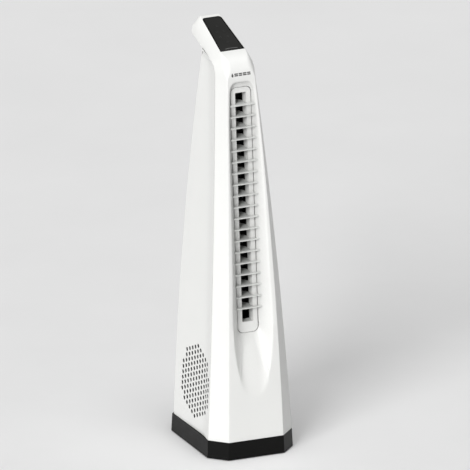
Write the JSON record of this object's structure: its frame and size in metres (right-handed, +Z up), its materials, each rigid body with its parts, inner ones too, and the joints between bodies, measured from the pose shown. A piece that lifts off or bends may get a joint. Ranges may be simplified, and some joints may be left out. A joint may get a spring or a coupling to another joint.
{
  "type": "evaporative cooler",
  "caption": "Slim tapered tower cooler on a dark plinth, with a tall louvred outlet, side intake hole fields, a rear water tank and a bent-back carry handle.",
  "frame": {"origin": "centre of the footprint, on the floor", "axes": "+Z up, the outlet faces -Y, +X to the right when facing the front"},
  "size_m": [0.224, 0.294, 1.0355],
  "materials": {
    "white_plastic": "satin moulded plastic",
    "louvre_plastic": "satin moulded plastic",
    "black_plastic": "satin moulded plastic",
    "dark_plastic": "matt moulded plastic",
    "rubber": "matt",
    "steel": "satin",
    "pad_paper": "fluted cellulose",
    "filter_mesh": "woven mesh in a frame",
    "clear_plastic": "translucent moulded plastic",
    "black_glass": "gloss touch panel",
    "circuit_board": "solder mask"
  },
  "bodies": {
    "case": {"base_plinth": "black_plastic", "foot_front_left": "rubber", "foot_front_right": "rubber", "foot_rear_left": "rubber", "foot_rear_right": "rubber", "front_shell": "white_plastic", "side_panel_left": "white_plastic", "side_panel_right": "white_plastic", "rear_cover": "white_plastic", "handle_underside": "white_plastic", "outlet_bezel": "white_plastic", "louvre_frame": "white_plastic", "air_duct": "dark_plastic", "swing_motor": "steel", "blower_housing_left": "dark_plastic", "blower_housing_right": "dark_plastic", "blower_motor": "steel", "motor_bracket": "steel", "cooling_pad_left": "pad_paper", "cooling_pad_right": "pad_paper", "dust_filter_left": "filter_mesh", "dust_filter_right": "filter_mesh", "water_distributor": "dark_plastic", "water_sump": "dark_plastic", "pump_body": "black_plastic", "water_hose": "clear_plastic", "control_panel": "black_glass", "control_board": "circuit_board", "power_board": "circuit_board", "mains_gland": "black_plastic"},
    "louvre_01": {"louvre_01": "louvre_plastic"},
    "louvre_02": {"louvre_02": "louvre_plastic"},
    "louvre_03": {"louvre_03": "louvre_plastic"},
    "louvre_04": {"louvre_04": "louvre_plastic"},
    "louvre_05": {"louvre_05": "louvre_plastic"},
    "louvre_06": {"louvre_06": "louvre_plastic"},
    "louvre_07": {"louvre_07": "louvre_plastic"},
    "louvre_08": {"louvre_08": "louvre_plastic"},
    "louvre_09": {"louvre_09": "louvre_plastic"},
    "louvre_10": {"louvre_10": "louvre_plastic"},
    "louvre_11": {"louvre_11": "louvre_plastic"},
    "louvre_12": {"louvre_12": "louvre_plastic"},
    "louvre_13": {"louvre_13": "louvre_plastic"},
    "louvre_14": {"louvre_14": "louvre_plastic"},
    "louvre_15": {"louvre_15": "louvre_plastic"},
    "louvre_16": {"louvre_16": "louvre_plastic"},
    "louvre_17": {"louvre_17": "louvre_plastic"},
    "louvre_18": {"louvre_18": "louvre_plastic"},
    "louvre_19": {"louvre_19": "louvre_plastic"},
    "louvre_link": {"louvre_link": "dark_plastic"},
    "vane_left": {"swing_vane_left": "dark_plastic"},
    "vane_right": {"swing_vane_right": "dark_plastic"},
    "vane_link": {"vane_link": "dark_plastic"},
    "blower": {"blower_wheel": "louvre_plastic", "blower_shaft": "steel"},
    "impeller": {"pump_impeller": "louvre_plastic"},
    "tank": {"water_tank": "clear_plastic"},
    "cap": {"tank_cap": "black_plastic"}
  },
  "joints": [
    {"name": "louvre_01_tilt", "type": "hinge", "parent": "case", "child": "louvre_01", "pos_m": [0, -0.05774, 0.869], "axis": [1, 0, 0], "range_deg": [-20, 20]},
    {"name": "louvre_02_tilt", "type": "hinge", "parent": "case", "child": "louvre_02", "pos_m": [0, -0.05992, 0.841], "axis": [1, 0, 0], "range_deg": [-20, 20]},
    {"name": "louvre_03_tilt", "type": "hinge", "parent": "case", "child": "louvre_03", "pos_m": [0, -0.06209, 0.813], "axis": [1, 0, 0], "range_deg": [-20, 20]},
    {"name": "louvre_04_tilt", "type": "hinge", "parent": "case", "child": "louvre_04", "pos_m": [0, -0.06427, 0.785], "axis": [1, 0, 0], "range_deg": [-20, 20]},
    {"name": "louvre_05_tilt", "type": "hinge", "parent": "case", "child": "louvre_05", "pos_m": [0, -0.06645, 0.757], "axis": [1, 0, 0], "range_deg": [-20, 20]},
    {"name": "louvre_06_tilt", "type": "hinge", "parent": "case", "child": "louvre_06", "pos_m": [0, -0.06862, 0.729], "axis": [1, 0, 0], "range_deg": [-20, 20]},
    {"name": "louvre_07_tilt", "type": "hinge", "parent": "case", "child": "louvre_07", "pos_m": [0, -0.0708, 0.701], "axis": [1, 0, 0], "range_deg": [-20, 20]},
    {"name": "louvre_08_tilt", "type": "hinge", "parent": "case", "child": "louvre_08", "pos_m": [0, -0.07297, 0.673], "axis": [1, 0, 0], "range_deg": [-20, 20]},
    {"name": "louvre_09_tilt", "type": "hinge", "parent": "case", "child": "louvre_09", "pos_m": [0, -0.07515, 0.645], "axis": [1, 0, 0], "range_deg": [-20, 20]},
    {"name": "louvre_10_tilt", "type": "hinge", "parent": "case", "child": "louvre_10", "pos_m": [0, -0.07733, 0.617], "axis": [1, 0, 0], "range_deg": [-20, 20]},
    {"name": "louvre_11_tilt", "type": "hinge", "parent": "case", "child": "louvre_11", "pos_m": [0, -0.0795, 0.589], "axis": [1, 0, 0], "range_deg": [-20, 20]},
    {"name": "louvre_12_tilt", "type": "hinge", "parent": "case", "child": "louvre_12", "pos_m": [0, -0.08168, 0.561], "axis": [1, 0, 0], "range_deg": [-20, 20]},
    {"name": "louvre_13_tilt", "type": "hinge", "parent": "case", "child": "louvre_13", "pos_m": [0, -0.08385, 0.533], "axis": [1, 0, 0], "range_deg": [-20, 20]},
    {"name": "louvre_14_tilt", "type": "hinge", "parent": "case", "child": "louvre_14", "pos_m": [0, -0.08603, 0.505], "axis": [1, 0, 0], "range_deg": [-20, 20]},
    {"name": "louvre_15_tilt", "type": "hinge", "parent": "case", "child": "louvre_15", "pos_m": [0, -0.0882, 0.477], "axis": [1, 0, 0], "range_deg": [-20, 20]},
    {"name": "louvre_16_tilt", "type": "hinge", "parent": "case", "child": "louvre_16", "pos_m": [0, -0.09038, 0.449], "axis": [1, 0, 0], "range_deg": [-20, 20]},
    {"name": "louvre_17_tilt", "type": "hinge", "parent": "case", "child": "louvre_17", "pos_m": [0, -0.09255, 0.421], "axis": [1, 0, 0], "range_deg": [-20, 20]},
    {"name": "louvre_18_tilt", "type": "hinge", "parent": "case", "child": "louvre_18", "pos_m": [0, -0.09473, 0.393], "axis": [1, 0, 0], "range_deg": [-20, 20]},
    {"name": "louvre_19_tilt", "type": "hinge", "parent": "case", "child": "louvre_19", "pos_m": [0, -0.09691, 0.365], "axis": [1, 0, 0], "range_deg": [-20, 20]},
    {"name": "louvre_link_lift", "type": "slide", "parent": "case", "child": "louvre_link", "axis": [0, 0, 1], "range_m": [-0.00628, 0.00628]},
    {"name": "vane_left_swing", "type": "hinge", "parent": "case", "child": "vane_left", "pos_m": [-0.008, -0.02065, 0.6], "axis": [0, 0.0775, 0.997], "range_deg": [-25, 25]},
    {"name": "vane_right_swing", "type": "hinge", "parent": "case", "child": "vane_right", "pos_m": [0.008, -0.02065, 0.6], "axis": [0, 0.0775, 0.997], "range_deg": [-25, 25]},
    {"name": "vane_link_slide", "type": "slide", "parent": "case", "child": "vane_link", "axis": [1, 0, 0], "range_m": [-0.00131, 0.00131]},
    {"name": "blower_spin", "type": "hinge", "parent": "case", "child": "blower", "pos_m": [0, -0.008, 0.158], "axis": [1, 0, 0], "continuous": true},
    {"name": "impeller_spin", "type": "hinge", "parent": "case", "child": "impeller", "pos_m": [0.052, 0.06, 0.015], "axis": [0, 0, 1], "continuous": true},
    {"name": "tank_slide", "type": "slide", "parent": "case", "child": "tank", "axis": [0, 1, 0], "range_m": [0, 0.15]},
    {"name": "cap_turn", "type": "hinge", "parent": "tank", "child": "cap", "pos_m": [0.034, 0.106, 0.24], "axis": [0, 0, 1], "range_deg": [0, 90]}
  ],
  "couplings": [
    {"joint": "louvre_01_tilt", "follows": "louvre_link_lift", "rad_per_m": 55.556},
    {"joint": "louvre_02_tilt", "follows": "louvre_link_lift", "rad_per_m": 55.556},
    {"joint": "louvre_03_tilt", "follows": "louvre_link_lift", "rad_per_m": 55.556},
    {"joint": "louvre_04_tilt", "follows": "louvre_link_lift", "rad_per_m": 55.556},
    {"joint": "louvre_05_tilt", "follows": "louvre_link_lift", "rad_per_m": 55.556},
    {"joint": "louvre_06_tilt", "follows": "louvre_link_lift", "rad_per_m": 55.556},
    {"joint": "louvre_07_tilt", "follows": "louvre_link_lift", "rad_per_m": 55.556},
    {"joint": "louvre_08_tilt", "follows": "louvre_link_lift", "rad_per_m": 55.556},
    {"joint": "louvre_09_tilt", "follows": "louvre_link_lift", "rad_per_m": 55.556},
    {"joint": "louvre_10_tilt", "follows": "louvre_link_lift", "rad_per_m": 55.556},
    {"joint": "louvre_11_tilt", "follows": "louvre_link_lift", "rad_per_m": 55.556},
    {"joint": "louvre_12_tilt", "follows": "louvre_link_lift", "rad_per_m": 55.556},
    {"joint": "louvre_13_tilt", "follows": "louvre_link_lift", "rad_per_m": 55.556},
    {"joint": "louvre_14_tilt", "follows": "louvre_link_lift", "rad_per_m": 55.556},
    {"joint": "louvre_15_tilt", "follows": "louvre_link_lift", "rad_per_m": 55.556},
    {"joint": "louvre_16_tilt", "follows": "louvre_link_lift", "rad_per_m": 55.556},
    {"joint": "louvre_17_tilt", "follows": "louvre_link_lift", "rad_per_m": 55.556},
    {"joint": "louvre_18_tilt", "follows": "louvre_link_lift", "rad_per_m": 55.556},
    {"joint": "louvre_19_tilt", "follows": "louvre_link_lift", "rad_per_m": 55.556},
    {"joint": "vane_left_swing", "follows": "vane_link_slide", "rad_per_m": -333.33},
    {"joint": "vane_right_swing", "follows": "vane_link_slide", "rad_per_m": -333.33}
  ]
}
